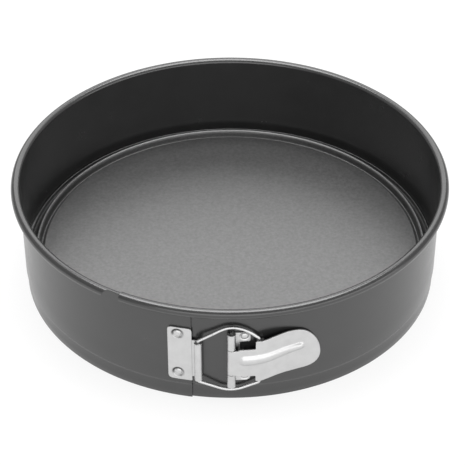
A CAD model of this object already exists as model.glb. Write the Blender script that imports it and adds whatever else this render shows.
import math

import bmesh
import bpy
import numpy as np
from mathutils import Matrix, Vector


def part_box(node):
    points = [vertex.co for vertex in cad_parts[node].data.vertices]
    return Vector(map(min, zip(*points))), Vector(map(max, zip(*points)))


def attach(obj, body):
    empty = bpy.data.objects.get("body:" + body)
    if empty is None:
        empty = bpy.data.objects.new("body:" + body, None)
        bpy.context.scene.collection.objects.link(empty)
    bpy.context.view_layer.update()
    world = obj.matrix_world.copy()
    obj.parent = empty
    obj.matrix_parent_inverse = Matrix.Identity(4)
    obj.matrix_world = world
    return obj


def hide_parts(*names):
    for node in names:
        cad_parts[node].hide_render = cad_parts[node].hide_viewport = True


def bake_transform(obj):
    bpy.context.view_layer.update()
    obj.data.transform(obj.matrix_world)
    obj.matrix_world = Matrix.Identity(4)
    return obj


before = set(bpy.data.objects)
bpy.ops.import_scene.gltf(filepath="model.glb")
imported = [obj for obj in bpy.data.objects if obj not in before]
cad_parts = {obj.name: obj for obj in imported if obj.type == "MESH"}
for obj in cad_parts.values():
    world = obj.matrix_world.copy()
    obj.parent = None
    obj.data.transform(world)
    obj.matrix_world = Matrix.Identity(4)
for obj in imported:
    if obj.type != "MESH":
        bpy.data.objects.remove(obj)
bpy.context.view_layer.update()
MM = 0.001

# ---------------------------------------------------------------- sizes, in mm, in the CAD part's frame
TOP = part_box("band_right")[1].z / MM
WALL = 149.0                    # outer radius of the wall
SHEET = 0.7                     # thickness of the band
BEAD = 3.3                      # outer radius of the rolled rim's tube
BEAD_Z = TOP - BEAD             # height of the tube's middle
FOOT_IN = 0.8                   # how far the foot strip is drawn in
LAP = 0.57                      # how far the left half's centre is shifted to the front
LEFT = WALL + LAP               # outer radius of the left half
PLATE_T = 1.2                   # thickness of the catch plate and the lever
WIRE_R = 1.1                    # radius of the link's wire
PIN_X, PIN_Y = 0.5, -152.0      # axis of the hinge pin
BARREL_X, BARREL_Y = -21.2, -151.7
RUN_X, RUN_Y = 19.0, -150.8     # axis of the wire's run through the lever's ears

# angles round the pan, in degrees, counted from the front
SEAM = 9.9                      # visible end of the left half
R_CURL = 28.1                   # end of the right half's rolled rim
L_CURL = 31.4                   # where the left half's rim starts to roll up
TAIL = 35.0                     # end of the right half, behind the left one
R_FLARE = 0.9                   # length over which the right half's curl opens out
L_FLARE = 3.2                   # the same for the left half's
CURL_GAP = 0.15                 # between the ends of the two rims
BACK = 172.0                    # the stretch that bends as the band opens lies beyond this angle

# angles round the rim's tube, where the sheet's free edge is, with 180 at the wall
CURL_END = -128.0               # fully rolled
R_FLARE_END = -70.0             # at the right half's end
L_FLARE_END = 86.0              # at the left half's end


# ---------------------------------------------------------------- mesh helpers
def smooth(t):
    t = np.clip(t, 0.0, 1.0)
    return t * t * (3 - 2 * t)


def finish_mesh(name, bm, material, body, sharp=32.0, weighted=False):
    """Makes a smooth-shaded piece of a bmesh and hands it to the frame."""
    bmesh.ops.remove_doubles(bm, verts=bm.verts, dist=1e-6)
    bmesh.ops.recalc_face_normals(bm, faces=bm.faces)
    mesh = bpy.data.meshes.new(name)
    bm.to_mesh(mesh)
    bm.free()
    mesh.shade_smooth()
    mesh.set_sharp_from_angle(angle=math.radians(sharp))
    mesh.materials.append(material)
    piece = bpy.data.objects.new(name, mesh)
    bpy.context.scene.collection.objects.link(piece)
    if weighted:
        normals = piece.modifiers.new("normals", "WEIGHTED_NORMAL")
        normals.keep_sharp = True
        normals.weight = 60
    if body:
        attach(piece, body)
    return piece


def inset(loop, d):
    """A closed loop of 2-D points moved inwards by d, by the normals at its points."""
    p = np.array(loop, float)
    area = 0.5 * np.sum(p[:, 0] * np.roll(p[:, 1], -1) - np.roll(p[:, 0], -1) * p[:, 1])
    before = p - np.roll(p, 1, 0)
    after = np.roll(p, -1, 0) - p
    before /= np.maximum(np.linalg.norm(before, axis=1, keepdims=True), 1e-9)
    after /= np.maximum(np.linalg.norm(after, axis=1, keepdims=True), 1e-9)
    t = before + after
    t /= np.maximum(np.linalg.norm(t, axis=1, keepdims=True), 1e-9)
    normal = np.stack([-t[:, 1], t[:, 0]], 1) * (1 if area > 0 else -1)
    return p + normal * d


def arc(cx, cy, r, a0, a1, n):
    return [(cx + r * math.cos(math.radians(a0 + (a1 - a0) * i / n)),
             cy + r * math.sin(math.radians(a0 + (a1 - a0) * i / n))) for i in range(n + 1)]


def eased_curve(points, n):
    """Catmull-Rom curve through 2-D points, with n steps from each point to the next."""
    p = [np.array(q, float) for q in points]
    p = [2 * p[0] - p[1]] + p + [2 * p[-1] - p[-2]]
    out = []
    for i in range(1, len(p) - 2):
        a, b, c, d = p[i - 1], p[i], p[i + 1], p[i + 2]
        for k in range(n):
            t = k / n
            out.append(tuple(0.5 * (2 * b + (c - a) * t + (2 * a - 5 * b + 4 * c - d) * t * t
                                    + (3 * b - a - 3 * c + d) * t ** 3)))
    return out + [tuple(p[-2])]


def filleted(corners, steps=6):
    """Rounds the corners (x, z, radius) of a closed polygon."""
    out, n = [], len(corners)
    for i in range(n):
        p = np.array(corners[i][:2], float)
        a = np.array(corners[i - 1][:2], float) - p
        b = np.array(corners[(i + 1) % n][:2], float) - p
        r = corners[i][2]
        la, lb = np.linalg.norm(a), np.linalg.norm(b)
        a, b = a / la, b / lb
        half = math.acos(max(-1, min(1, float(a @ b)))) / 2
        if r <= 0 or abs(half - math.pi / 2) < 0.02:
            out.append(tuple(p))
            continue
        cut = min(r / math.tan(half), la * 0.48, lb * 0.48)
        for k in range(steps + 1):
            t = k / steps
            out.append(tuple(p + a * cut * (1 - t) ** 2 + b * cut * t ** 2))
    return out


def dense(loop, gap):
    """Adds points so that no edge of a closed loop is longer than gap."""
    out = []
    for p, q in zip(loop, loop[1:] + loop[:1]):
        p, q = np.array(p), np.array(q)
        n = max(1, math.ceil(float(np.linalg.norm(q - p)) / gap))
        out += [tuple(p + (q - p) * i / n) for i in range(n)]
    return out


def add_rings(bm, rings, cap_start=True, cap_end=True):
    """Joins rings of 3-D points, each a closed loop with the same number of points."""
    rows = [[bm.verts.new(Vector(p) * MM) for p in ring] for ring in rings]
    n = len(rows[0])
    for a, b in zip(rows, rows[1:]):
        for i in range(n):
            j = (i + 1) % n
            bm.faces.new((a[i], a[j], b[j], b[i]))
    if cap_start:
        bm.faces.new(rows[0])
    if cap_end:
        bm.faces.new(rows[-1][::-1])


def around(loop, angle, centre_y):
    """A section's (radius, height) points placed at an angle counted from the front towards +X."""
    s, c = math.sin(math.radians(angle)), math.cos(math.radians(angle))
    return [(r * s, centre_y - r * c, z) for r, z in loop]


def sweep(bm, loop, a0, a1, centre_y=0.0, round_start=False, cap=True, step=0.75, edge=0.2):
    """Sweeps a closed section round the pan's axis, with a small round edge where it starts."""
    first = a0
    rings = []
    if round_start:
        mean_r = float(np.mean([r for r, z in loop]))
        turn = math.degrees(edge / mean_r) * (1 if a1 > a0 else -1)
        for k in range(4):
            f = math.radians(90 * k / 4)
            ring = inset(loop, edge * (1 - math.sin(f)))
            rings.append(around(ring, a0 + turn * (1 - math.cos(f)), centre_y))
        first = a0 + turn
    n = max(1, math.ceil(abs(a1 - a0) / step))
    for i in range(n + 1):
        rings.append(around(loop, first + (a1 - first) * i / n, centre_y))
    add_rings(bm, rings, cap_start=cap)


def lathe(bm, line, place, axis, n=40):
    """Turns a line of (radius, height) points about an axis through place."""
    axis = Vector(axis).normalized()
    u = axis.orthogonal().normalized()
    v = axis.cross(u)
    spokes = [u * math.cos(2 * math.pi * i / n) + v * math.sin(2 * math.pi * i / n) for i in range(n)]
    rows = []
    for r, h in line:
        c = Vector(place) + axis * h
        if r < 1e-6:
            rows.append([bm.verts.new(c * MM)])
        else:
            rows.append([bm.verts.new((c + spoke * r) * MM) for spoke in spokes])
    for a, b in zip(rows, rows[1:]):
        for i in range(n):
            j = (i + 1) % n
            if len(a) == 1 and len(b) > 1:
                bm.faces.new((a[0], b[j], b[i]))
            elif len(b) == 1 and len(a) > 1:
                bm.faces.new((a[i], a[j], b[0]))
            elif len(a) > 1:
                bm.faces.new((a[i], a[j], b[j], b[i]))


def sleeve(bm, x, y, outer, inner, start, end, lo, hi, edge, slight):
    """An upright sleeve of rolled sheet, open between its end and start angles, with eased ends."""
    section = arc(x, y, outer, start, end, 44) + arc(x, y, inner, end, start, 44)
    eased = ((edge, 0.0), (slight, slight), (0.0, edge))
    levels = [(shrink, lo + rise) for shrink, rise in eased]
    levels += [(shrink, hi - rise) for shrink, rise in eased[::-1]]
    add_rings(bm, [[(px, py, z) for px, py in inset(section, shrink)] for shrink, z in levels])


def curved_plate(bm, outline, r_in, thick, centre_y=0.0, press=None, cell=0.7, edge=0.3, inner=1.0):
    """A plate with round edges, drawn from the front as (x, z) and bent round the pan. press gives how far
    a point of its outer face stands out, and inner is the share of that on its inner face."""
    loop = dense(outline, cell * 1.5)
    part = bmesh.new()
    profile = [(0.0, 0.12), (0.12, 0.0)]
    for k in range(5):
        f = math.radians(90 * k / 4)
        profile.append((thick - edge + edge * math.sin(f), edge * (1 - math.cos(f))))
    rows = []
    for depth, shrink in profile:
        rows.append([part.verts.new((x, -depth, z)) for x, z in inset(loop, shrink)])
    count = len(loop)
    for a, b in zip(rows, rows[1:]):
        for i in range(count):
            j = (i + 1) % count
            part.faces.new((a[i], a[j], b[j], b[i]))
    part.faces.new(rows[0])
    part.faces.new(rows[-1][::-1])
    # both faces are cut into a grid, so that they can follow the press and the curve of the pan
    cuts = (([x for x, z in loop], Vector((1, 0, 0))), ([z for x, z in loop], Vector((0, 0, 1))))
    for values, normal in cuts:
        v = min(values) + cell
        while v < max(values) - cell * 0.4:
            bmesh.ops.bisect_plane(part, geom=part.verts[:] + part.edges[:] + part.faces[:],
                                   plane_co=normal * v, plane_no=normal, dist=1e-5)
            v += cell
    for v in part.verts:
        x, depth, z = v.co.x, -v.co.y, v.co.z
        if press:
            depth += press(x, z) * (inner + (1 - inner) * depth / thick)
        rho = r_in + depth
        v.co = Vector((x, centre_y - math.sqrt(rho * rho - x * x), z)) * MM
    mesh = bpy.data.meshes.new("part")
    part.to_mesh(mesh)
    part.free()
    bm.from_mesh(mesh)
    bpy.data.meshes.remove(mesh)


def recess(x, z, x0, zs, depth, flat_r, slope, lip=0.0, lip_r=4.3, lip_width=0.4):
    """How far a plate's face stands out beside its rivets, which sit in round recesses with a raised lip."""
    out = 0.0
    for z0 in zs:
        rho = math.hypot(x - x0, z - z0)
        out -= depth * (1 - min(1.0, max(0.0, (rho - flat_r) / slope)))
        out += lip * math.exp(-((rho - lip_r) / lip_width) ** 2)
    return out


def shade_hollows(piece, x0, zs, ring_r, width):
    """Tarnish that gathers round rivets, strongest on the upper left of each recess."""
    mesh = piece.data
    layer = mesh.attributes.new("hollow", "FLOAT", "POINT")
    for v in mesh.vertices:
        x, z = v.co.x / MM, v.co.z / MM
        value = 0.0
        for z0 in zs:
            rho = math.hypot(x - x0, z - z0)
            side = ((z - z0) - 0.5 * (x - x0)) / max(rho, 0.1)
            ring = math.exp(-((rho - ring_r) / width) ** 2)
            value = max(value, ring * (0.35 + 0.65 * float(smooth(side * 0.8 + 0.4))))
        layer.data[v.index].value = value


# ---------------------------------------------------------------- materials
def new_material(name):
    material = bpy.data.materials.new(name)
    material.use_nodes = True
    tree = material.node_tree
    shader = next(n for n in tree.nodes if n.type == "BSDF_PRINCIPLED")
    return material, tree, shader


def node(tree, kind, **values):
    n = tree.nodes.new(kind)
    for k, v in values.items():
        if k in n.inputs:
            n.inputs[k].default_value = v
        else:
            setattr(n, k, v)
    return n


def noise(tree, coord, scale, detail, rough):
    n = node(tree, "ShaderNodeTexNoise", Scale=scale, Detail=detail, Roughness=rough)
    tree.links.new(coord, n.inputs["Vector"])
    return n.outputs["Fac"]


def ramp(tree, value, lo, hi, at_lo, at_hi):
    n = tree.nodes.new("ShaderNodeMapRange")
    n.inputs["From Min"].default_value, n.inputs["From Max"].default_value = lo, hi
    n.inputs["To Min"].default_value, n.inputs["To Max"].default_value = at_lo, at_hi
    tree.links.new(value, n.inputs["Value"])
    return n.outputs["Result"]


def grey(tree, value):
    n = tree.nodes.new("ShaderNodeCombineColor")
    for k in ("Red", "Green", "Blue"):
        tree.links.new(value, n.inputs[k])
    return n.outputs["Color"]


def coating(name, low, high, rough, specular, grain, grain_height, wave_height, speckle, metallic=0.0):
    """Dark non-stick coating: sprayed orange peel, a little mottling, and the pressed sheet's faint waves."""
    material, tree, shader = new_material(name)
    co = tree.nodes.new("ShaderNodeTexCoord").outputs["Object"]
    fine = noise(tree, co, grain, 3.0, 0.55)
    mottle = noise(tree, co, speckle, 5.0, 0.6)
    wave = noise(tree, co, 9.0, 2.0, 0.5)
    tree.links.new(grey(tree, ramp(tree, mottle, 0.3, 0.7, low, high)), shader.inputs["Base Color"])
    tree.links.new(ramp(tree, mottle, 0.25, 0.75, rough - 0.03, rough + 0.03), shader.inputs["Roughness"])
    shader.inputs["Specular IOR Level"].default_value = specular
    shader.inputs["Metallic"].default_value = metallic
    waves = node(tree, "ShaderNodeBump", Strength=1.0, Distance=wave_height)
    tree.links.new(wave, waves.inputs["Height"])
    peel = node(tree, "ShaderNodeBump", Strength=1.0, Distance=grain_height)
    tree.links.new(fine, peel.inputs["Height"])
    tree.links.new(waves.outputs["Normal"], peel.inputs["Normal"])
    tree.links.new(peel.outputs["Normal"], shader.inputs["Normal"])
    return material


def plated(name, low, high, rough, stretch):
    """Bright plating on rolled steel: faint grain along one direction, a little haze, and tarnish where the
    mesh's hollow attribute says so."""
    material, tree, shader = new_material(name)
    co = tree.nodes.new("ShaderNodeTexCoord").outputs["Object"]
    along = tree.nodes.new("ShaderNodeMapping")
    along.inputs["Scale"].default_value = stretch
    tree.links.new(co, along.inputs["Vector"])
    grain = noise(tree, along.outputs["Vector"], 900.0, 3.0, 0.6)
    haze = noise(tree, co, 140.0, 4.0, 0.6)
    hollow = node(tree, "ShaderNodeAttribute", attribute_name="hollow").outputs["Fac"]
    dim = node(tree, "ShaderNodeMath", operation="MULTIPLY")
    tree.links.new(ramp(tree, haze, 0.3, 0.7, low, high), dim.inputs[0])
    tree.links.new(ramp(tree, hollow, 0.0, 1.0, 1.0, 0.04), dim.inputs[1])
    tree.links.new(grey(tree, dim.outputs["Value"]), shader.inputs["Base Color"])
    shader.inputs["Metallic"].default_value = 1.0
    tree.links.new(ramp(tree, haze, 0.25, 0.75, rough - 0.04, rough + 0.04), shader.inputs["Roughness"])
    bump = node(tree, "ShaderNodeBump", Strength=1.0, Distance=0.000012)
    tree.links.new(grain, bump.inputs["Height"])
    tree.links.new(bump.outputs["Normal"], shader.inputs["Normal"])
    return material


BAND = coating("band_nonstick", low=0.018, high=0.023, rough=0.25, specular=0.90, grain=1500.0,
               grain_height=0.000008, wave_height=0.00006, speckle=55.0)
BASE = coating("base_nonstick", low=0.128, high=0.168, rough=0.46, specular=0.5, grain=1100.0,
               grain_height=0.000024, wave_height=0.00003, speckle=480.0, metallic=1.0)
PLATE = plated("plated_sheet", low=0.57, high=0.63, rough=0.36, stretch=(1.0, 1.0, 0.15))
WIRE = plated("plated_wire", low=0.62, high=0.68, rough=0.28, stretch=(0.15, 0.15, 1.0))


# ---------------------------------------------------------------- the band
def step_curve(r, inward, low, high, n=9):
    """The pressed step between the foot strip and the wall."""
    return [(r - FOOT_IN - inward + FOOT_IN * float(smooth(i / n)), low + (high - low) * i / n)
            for i in range(n + 1)]


def band_loop(r, kind, curl_end=CURL_END):
    """Closed section of the sheet for a wall of outer radius r. At the top a rim is rolled outwards, a tail
    ends plainly behind the other half's rim, and a tucked end stops below it."""
    foot, inner = r - FOOT_IN, r - SHEET
    out = [(foot - 0.5, 0.0), (foot - 0.2, 0.0), (foot - 0.06, 0.08), (foot, 0.24), (foot, 5.0)]
    out += step_curve(r, 0.0, 10.7, 12.9)
    out += [(r, 25.0), (r, 45.0), (r, 62.0), (r, 70.0)]
    if kind == "rim":
        c = inner + BEAD
        out += arc(c, BEAD_Z, BEAD - SHEET, 180, curl_end, 40)
        mid = BEAD - SHEET / 2
        a = math.radians(curl_end)
        lip = (c + mid * math.cos(a), BEAD_Z + mid * math.sin(a))
        out += [(lip[0] + SHEET / 2 * math.cos(a + math.pi * (1 + k / 6)),
                 lip[1] + SHEET / 2 * math.sin(a + math.pi * (1 + k / 6))) for k in range(1, 6)]
        out += arc(c, BEAD_Z, BEAD, curl_end, 180, 56)
    else:
        top = BEAD_Z - 0.8 if kind == "tail" else BEAD_Z - BEAD - 0.5
        out += [(r, top - 0.3), (r - 0.1, top - 0.08), (r - 0.35, top), (r - 0.6, top - 0.08),
                (inner, top - 0.3)]
    out += [(inner, 70.0 if kind != "tucked" else 69.5), (inner, 62.0), (inner, 45.0), (inner, 25.0)]
    out += step_curve(r, SHEET, 10.9, 13.1)[::-1]
    out += [(foot - SHEET, 5.0), (foot - SHEET, 0.24), (foot - SHEET + 0.06, 0.08)]
    return out


def unrolling(r, a0, a1, end0, end1, centre_y, steps):
    """Rings of the section along which the rim's curl opens from one end angle to another."""
    return [around(band_loop(r, "rim", end0 + (end1 - end0) * float(smooth(i / steps))),
                   a0 + (a1 - a0) * i / steps, centre_y) for i in range(steps + 1)]


bm = bmesh.new()
flare = unrolling(WALL, -R_CURL, -R_CURL + R_FLARE, R_FLARE_END, CURL_END, 0.0, 6)
add_rings(bm, flare, cap_end=False)
sweep(bm, band_loop(WALL, "rim"), -R_CURL + R_FLARE, BACK, cap=False)
sweep(bm, band_loop(WALL, "tail"), -TAIL, -R_CURL, round_start=True)
right = finish_mesh("band_right_half", bm, BAND, "fixed_half")
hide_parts("band_right")

bm = bmesh.new()
flare = unrolling(LEFT, -R_CURL - CURL_GAP, -L_CURL, L_FLARE_END, L_FLARE_END, -LAP, 8)
flare += unrolling(LEFT, -L_CURL, -L_CURL - L_FLARE, L_FLARE_END, CURL_END, -LAP, 20)[1:]
add_rings(bm, flare, cap_end=False)
sweep(bm, band_loop(LEFT, "rim"), -L_CURL - L_FLARE, -BACK, -LAP, cap=False)
sweep(bm, band_loop(LEFT, "tucked"), -SEAM, -R_CURL - CURL_GAP, -LAP, round_start=True)
left = finish_mesh("band_left_half", bm, BAND, "opening_half")
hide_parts("band_left")

BACK_STEPS = 11                 # rings on each side of the back's middle
back_gap = (180 - BACK) / BACK_STEPS
rings = [around(band_loop(WALL, "rim"), BACK + back_gap * i, 0.0) for i in range(BACK_STEPS + 1)]
rings += [around(band_loop(LEFT, "rim"), 180 + back_gap * i, -LAP) for i in range(1, BACK_STEPS + 1)]
bm = bmesh.new()
add_rings(bm, rings)
back = finish_mesh("band_back", bm, BAND, None)
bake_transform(back)
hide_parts("band_right", "band_left")

# ---------------------------------------------------------------- the base
PANEL_Z, RING_Z, LIP_Z = 15.9, 19.3, 16.2
BASE_STEPS = 480
ring_line = [(135.2, PANEL_Z), (136.2, PANEL_Z - 0.06), (136.9, PANEL_Z - 0.6), (137.5, 14.5), (138.3, 14.15),
             (138.9, 14.7), (139.5, 17.4), (140.1, 18.6), (141.2, RING_Z - 0.02), (142.2, 18.95),
             (143.4, 17.2), (144.8, 14.9), (145.7, 13.65), (146.4, 13.3)]
line = [(r, PANEL_Z) for r in (30.0, 60.0, 90.0, 115.0, 128.0)] + eased_curve(ring_line, 4)
# the flange's upturned lip, and the underside back to the middle
line += [(146.85, 13.6), (147.05, 14.2), (147.1, 15.95), (147.25, 16.14), (147.5, LIP_Z), (147.75, 16.14),
         (147.9, 15.95), (147.9, 13.2), (147.7, 12.75), (147.2, 12.45)]
line += [(146.0, 12.4), (145.1, 12.75), (143.6, 14.5), (142.4, 16.5), (141.2, 17.9), (140.4, 17.8),
         (139.9, 16.9), (139.4, 14.3), (138.6, 13.4), (137.2, 13.5), (136.2, 14.6), (135.2, 15.1),
         (128.0, 15.1), (30.0, 15.1)]
bm = bmesh.new()
rows = []
for i in range(BASE_STEPS):
    turn = 2 * math.pi * i / BASE_STEPS
    rows.append([bm.verts.new(Vector((r * math.sin(turn), -r * math.cos(turn), z)) * MM) for r, z in line])
for a, b in zip(rows, rows[1:] + rows[:1]):
    for k in range(len(line) - 1):
        bm.faces.new((a[k], a[k + 1], b[k + 1], b[k]))
bm.faces.new([row[0] for row in rows])
bm.faces.new([row[-1] for row in rows][::-1])
base = finish_mesh("base_disc", bm, BASE, "base", sharp=40)
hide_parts("base_plate")


# ---------------------------------------------------------------- rivets
def rivet(name, node_name, x, z, r, seat, centre_y, body, head=2.7, high=1.25):
    """A rivet with a low dome on its seat outside, and a flat end inside a band of outer radius r."""
    a = math.asin(x / r)
    out = Vector((math.sin(a), -math.cos(a), 0))
    place = Vector((0, centre_y, 0)) + out * seat + Vector((0, 0, z))
    shank = 1.5
    inner_end = -(seat - r + SHEET)
    line = [(0.0, inner_end), (shank - 0.15, inner_end), (shank, inner_end + 0.15), (shank, 0.0)]
    line += [(head - 0.12, 0.0), (head, 0.1)]
    for k in range(1, 9):
        f = math.radians(90 * k / 8)
        line.append((head * math.cos(f) ** 0.9 if k < 8 else 0.0, 0.1 + (high - 0.1) * math.sin(f)))
    bm = bmesh.new()
    lathe(bm, line, place, out)
    piece = finish_mesh(name, bm, PLATE, body, sharp=50)
    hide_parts(node_name)


# ---------------------------------------------------------------- catch side, on the left half
CATCH_X, CATCH_ZS = -34.6, (23.1, 56.6)     # middles of the rivets
CATCH_RECESS = 0.95
BARREL_LO, BARREL_HI = 20.4, 52.6

bm = bmesh.new()
outline = filleted([(-41.3, 16.8, 3.2), (-25.3, 16.8, 0.8), (-25.3, 61.8, 3.0), (-41.3, 61.8, 3.2)])
curved_plate(bm, outline, LEFT, PLATE_T, -LAP, cell=0.4, inner=0.0,
             press=lambda x, z: recess(x, z, CATCH_X, CATCH_ZS, CATCH_RECESS, 2.95, 1.15, lip=0.08))
# the tongue that runs on under the barrel, and the barrel rolled from it round the wire
tongue = filleted([(-26.5, 20.7, 0.3), (-21.4, 20.7, 0.3), (-21.4, 52.3, 0.3), (-26.5, 52.3, 0.3)])
curved_plate(bm, tongue, LEFT, 0.95, -LAP, cell=1.5, edge=0.15)
sleeve(bm, BARREL_X, BARREL_Y, 2.65, 1.2, 100, -196, BARREL_LO, BARREL_HI, edge=0.25, slight=0.07)
catch = finish_mesh("catch_plate_sheet", bm, PLATE, "opening_half", sharp=45, weighted=True)
shade_hollows(catch, CATCH_X, CATCH_ZS, ring_r=3.4, width=0.75)
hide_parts("catch_plate")
for name, node_name, z in (("catch_rivet_low", "catch_rivet_lower", CATCH_ZS[0]),
                           ("catch_rivet_high", "catch_rivet_upper", CATCH_ZS[1])):
    rivet(name, node_name, CATCH_X, z, LEFT, LEFT + PLATE_T - CATCH_RECESS, -LAP, "opening_half")


# ---------------------------------------------------------------- wire link
def tube(bm, path, r, n=20):
    """A round tube along a smooth path, with rounded ends."""
    p = [Vector(q) for q in path]
    last = len(p) - 1
    tangents = [(p[min(i + 1, last)] - p[max(i - 1, 0)]).normalized() for i in range(last + 1)]
    tips = ((0.55, 0.2), (0.87, 0.1))       # share of the radius, and of how far past the end it lies
    u = tangents[0].orthogonal().normalized()
    rings = []
    for i, (c, t) in enumerate(zip(p, tangents)):
        u = (u - t * u.dot(t)).normalized()
        v = t.cross(u)
        ring = [c + (u * math.cos(2 * math.pi * k / n) + v * math.sin(2 * math.pi * k / n)) * r
                for k in range(n)]
        if i == 0:
            rings += [[c + (q - c) * size - t * r * past for q in ring] for size, past in tips]
        rings.append(ring)
        if i == last:
            rings += [[c + (q - c) * size + t * r * past for q in ring] for size, past in tips[::-1]]
    add_rings(bm, rings)


def bent(points, cuts, n=10):
    """A path through 3-D corners, each rounded over the given length on both sides."""
    p = [Vector(q) for q in points]
    out = [p[0]]
    for i in range(1, len(p) - 1):
        a, b, c = (p[i - 1] - p[i]).normalized(), p[i], (p[i + 1] - p[i]).normalized()
        for k in range(n + 1):
            t = k / n
            out.append(b + a * cuts[i - 1] * (1 - t) ** 2 + c * cuts[i - 1] * t ** 2)
    out.append(p[-1])
    return out


run = Vector((RUN_X, RUN_Y, 0))
to_barrel = Vector((BARREL_X, BARREL_Y, 0)) - run
LINK = to_barrel.length         # from the run in the ears to the barrel
to_barrel.normalize()
# corners of the loop: how far from the run, how high, and how much of each side its bend takes up
LOOP = [(LINK, 52.7, 0), (LINK - 0.15, 54.2, 0.5), (18.6, 67.1, 8.6), (7.0, 61.7, 3.8), (0, 55.4, 1.6),
        (0, 17.6, 1.6), (18.6, 9.4, 9.0), (LINK - 0.15, 18.8, 0.5), (LINK, 20.3, 0)]
corners = [run + to_barrel * far + Vector((0, 0, z)) for far, z, cut in LOOP]
bm = bmesh.new()
tube(bm, bent(corners, [cut for far, z, cut in LOOP[1:-1]]), WIRE_R)
link = finish_mesh("link_wire", bm, WIRE, "link", sharp=60)
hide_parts("wire_link")
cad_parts["link_run"].data.materials.clear()
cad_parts["link_run"].data.materials.append(WIRE)

# ---------------------------------------------------------------- hinge side, on the right half
HINGE_X, HINGE_ZS = 9.2, (21.8, 56.4)       # middles of the rivets
HINGE_RECESS = 0.5
CURL_R = 2.95                   # outer radius of the knuckles and of the lever's curl
BRACKET_T = 1.0
WEB_LO, WEB_HI = 18.5, 59.5     # the strips that join the knuckles to the plate lie between these heights

bm = bmesh.new()
outline = filleted([(1.2, 17.8, 1.5), (13.2, 17.8, 3.8), (13.2, 27.2, 1.2), (8.4, 27.2, 0.8),
                    (8.4, 44.6, 0.8), (6.2, 44.6, 0.6), (6.2, 51.6, 0.8), (13.2, 51.6, 2.0),
                    (13.2, 59.5, 3.5), (1.2, 59.5, 1.5), (1.2, 47.5, 0.2), (4.7, 47.5, 0.4),
                    (4.7, 25.7, 0.4), (1.2, 25.7, 0.2)])
curved_plate(bm, outline, WALL, BRACKET_T, cell=0.4, inner=0.0,
             press=lambda x, z: recess(x, z, HINGE_X, HINGE_ZS, HINGE_RECESS, 2.8, 0.7))
for lo, hi in ((14.8, 25.7), (47.5, 60.4)):
    sleeve(bm, PIN_X, PIN_Y, CURL_R, 1.72, 75, -205, lo, hi, edge=0.22, slight=0.06)
    low, high = max(lo, WEB_LO) + 0.3, min(hi, WEB_HI) - 0.3
    web = filleted([(PIN_X - 0.6, low, 0.2), (PIN_X + 5, low, 0.2), (PIN_X + 5, high, 0.2),
                    (PIN_X - 0.6, high, 0.2)])
    curved_plate(bm, web, WALL, 0.98, cell=1.5, edge=0.15)
hinge = finish_mesh("hinge_bracket_sheet", bm, PLATE, "fixed_half", sharp=45, weighted=True)
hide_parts("hinge_bracket")
for name, node_name, z in (("hinge_rivet_low", "hinge_rivet_lower", HINGE_ZS[0]),
                           ("hinge_rivet_high", "hinge_rivet_upper", HINGE_ZS[1])):
    rivet(name, node_name, HINGE_X, z, WALL, WALL + BRACKET_T - HINGE_RECESS, 0.0, "fixed_half", 2.6, 1.3)
bm = bmesh.new()
lathe(bm, [(0, 15.3), (1.45, 15.3), (1.7, 15.55), (1.7, 59.1), (1.45, 59.35), (0.6, 59.4), (0, 59.4)],
      (PIN_X, PIN_Y, 0), (0, 0, 1))
pin = finish_mesh("hinge_pin_rod", bm, WIRE, "fixed_half", sharp=50)
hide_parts("hinge_pin")

# ---------------------------------------------------------------- the lever
LEVER_IN = 153.73               # inner radius of the lever's sheet before it is bent in
BEND_IN, BEND_X0, BEND_X1 = 3.75, 20.0, 46.0
RIB_HEIGHT = 1.75
# places across, heights and half widths along the pressed rib
RIB = [np.array(q) for q in ((9.6, 39.0, 4.3), (16.0, 39.3, 4.3), (25.0, 40.7, 4.1), (34.0, 42.4, 3.9),
                             (46.0, 43.2, 3.1))]


def rib(x, z):
    """Height of the pressed rib at a point of the lever."""
    best = 9.0
    for a, b in zip(RIB, RIB[1:]):
        along = b[:2] - a[:2]
        t = float(np.clip(((x, z) - a[:2]) @ along / (along @ along), 0, 1))
        best = min(best, float(np.linalg.norm((x, z) - (a[:2] + along * t))) / (a[2] + (b[2] - a[2]) * t))
    return RIB_HEIGHT * max(0.0, 1 - best * best) ** 1.25


def bend(x):
    """How far the lever has bent in towards the wall, at a place across the front."""
    return BEND_IN * float(smooth((x - BEND_X0) / (BEND_X1 - BEND_X0)))


paddle = [(20, 20.6), (24, 21.85), (29.4, 23.1), (35, 23.5), (41.6, 23.3), (48.3, 23.5), (52.8, 24.2),
          (56.2, 25.9), (58.4, 28.6), (59.4, 32.3), (59.2, 37.0), (58.1, 42.0), (56.0, 47.0), (53.0, 51.5),
          (49.2, 55.1), (45.3, 57.0), (40.9, 57.9), (36.5, 58.2), (32.0, 57.8), (27.7, 57.0), (23.4, 55.8),
          (20, 55.0)]
# the first two corners are the paddle's ends, which close the polygon while it is filleted
stem = filleted([(20, 20.6, 0), (20, 55, 0), (16.4, 55, 0.9), (16.4, 48.4, 0.8), (6.5, 48.2, 1.6),
                 (4, 47.2, 1.6), (0.6, 47.1, 0.1), (0.6, 26.1, 0.1), (4, 26, 1.6), (6.5, 25.4, 1.6),
                 (16.4, 25.4, 1.0), (16.4, 20.6, 0.9)])[2:]
bm = bmesh.new()
curved_plate(bm, eased_curve(paddle, 8) + stem, LEVER_IN, PLATE_T, cell=0.55, edge=0.4,
             press=lambda x, z: rib(x, z) - bend(x))
curl = [(2.7, 26.0), (2.88, 26.07), (CURL_R, 26.25), (CURL_R, 46.95), (2.88, 47.13), (2.7, 47.2), (2.0, 47.2),
        (1.78, 47.1), (1.76, 46.8), (1.76, 26.4), (1.78, 26.1), (2.0, 26.0), (2.7, 26.0)]
lathe(bm, curl, (PIN_X, PIN_Y, 0), (0, 0, 1), n=56)
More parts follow.
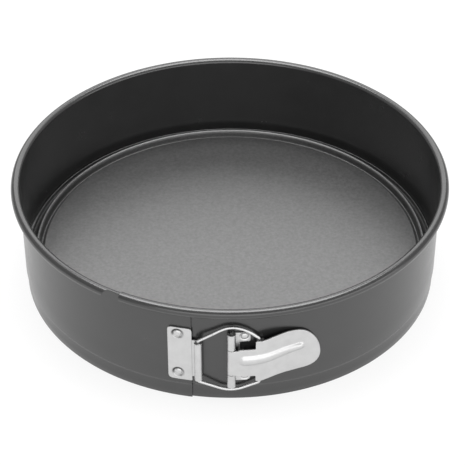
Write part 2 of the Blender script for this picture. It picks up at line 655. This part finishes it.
# the ears that hold the wire's run, drawn from above as (x, distance from the pan's axis)
ear = dense(filleted([(17.2, 149.6, 0.8), (21.8, 149.6, 0.8), (21.8, 153.9, 0.1), (17.2, 153.9, 0.1)]), 1.0)
for lo, hi in ((20.6, 21.8), (52.6, 53.8)):
    rings = []
    for shrink, z in ((0.15, lo), (0.0, lo + 0.15), (0.0, hi - 0.15), (0.15, hi)):
        rings.append([(x, -math.sqrt(rho * rho - x * x), z) for x, rho in inset(ear, shrink)])
    add_rings(bm, rings)
lever = finish_mesh("lever_sheet", bm, PLATE, "lever", sharp=45, weighted=True)
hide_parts("latch_lever")

# ---------------------------------------------------------------- floor and light, in metres
FLOOR = 6.0                     # half of the floor's side
mesh = bpy.data.meshes.new("floor")
mesh.from_pydata([(-FLOOR, -FLOOR, 0), (FLOOR, -FLOOR, 0), (FLOOR, FLOOR, 0), (-FLOOR, FLOOR, 0)], [],
                 [(0, 1, 2, 3)])
floor = bpy.data.objects.new("floor", mesh)
bpy.context.scene.collection.objects.link(floor)
material, tree, shader = new_material("pale_floor")
shader.inputs["Base Color"].default_value = (0.13, 0.13, 0.13, 1)
shader.inputs["Roughness"].default_value = 0.9
shader.inputs["Specular IOR Level"].default_value = 0.1
shader.inputs["Emission Color"].default_value = (1, 1, 1, 1)
shader.inputs["Emission Strength"].default_value = 0.86
mesh.materials.append(material)

world = bpy.data.worlds.new("studio")
bpy.context.scene.world = world
world.use_nodes = True
background = world.node_tree.nodes["Background"]
background.inputs["Color"].default_value = (1, 1, 1, 1)
background.inputs["Strength"].default_value = 0.45

LIT_POINT = Vector((0, 0, 0.04))


def softbox(name, place, width, height, power):
    """A soft rectangular light that faces the middle of the pan."""
    light = bpy.data.lights.new(name, "AREA")
    light.shape = "RECTANGLE"
    light.size, light.size_y, light.energy = width, height, power
    lamp = bpy.data.objects.new(name, light)
    lamp.location = place
    lamp.rotation_euler = (LIT_POINT - Vector(place)).to_track_quat("-Z", "Y").to_euler()
    bpy.context.scene.collection.objects.link(lamp)


softbox("top_light", (0.0, 0.2, 1.5), 1.5, 1.0, 29.0)
softbox("back_light", (0.0, 1.3, 1.0), 1.8, 0.9, 9.5)
softbox("front_light", (0.0, -2.4, 0.68), 3.2, 1.3, 22.0)
softbox("right_light", (2.6, -1.5, 0.68), 2.8, 1.3, 18.0)

# ---------------------------------------------------------------- camera
CAMERA_ELEVATION = math.radians(35.8168)    # of the camera, seen from the middle of the rim
CAMERA_DISTANCE = 1.2067835                 # from the middle of the rim, in metres
AIM_UP, AIM_RIGHT = math.radians(-2.0492), math.radians(0.0694)     # off the middle of the rim
rim = Vector((0, 0, TOP * MM))
place = rim + Vector((0, -math.cos(CAMERA_ELEVATION), math.sin(CAMERA_ELEVATION))) * CAMERA_DISTANCE
ahead = (rim - place).normalized()
side = Vector((1, 0, 0))
up = side.cross(ahead)
look = (ahead * math.cos(AIM_RIGHT) * math.cos(AIM_UP) + side * math.sin(AIM_RIGHT) * math.cos(AIM_UP)
        + up * math.sin(AIM_UP))
cam = bpy.data.cameras.new("camera")
cam.sensor_width = 36.0
cam.lens = 131.3992258
cam.clip_start, cam.clip_end = 0.05, 20
camera = bpy.data.objects.new("camera", cam)
camera.location = place
camera.rotation_mode = "QUATERNION"
camera.rotation_quaternion = look.to_track_quat("-Z", "Y")
bpy.context.scene.collection.objects.link(camera)
bpy.context.scene.camera = camera
bpy.context.scene.view_settings.view_transform = "Standard"
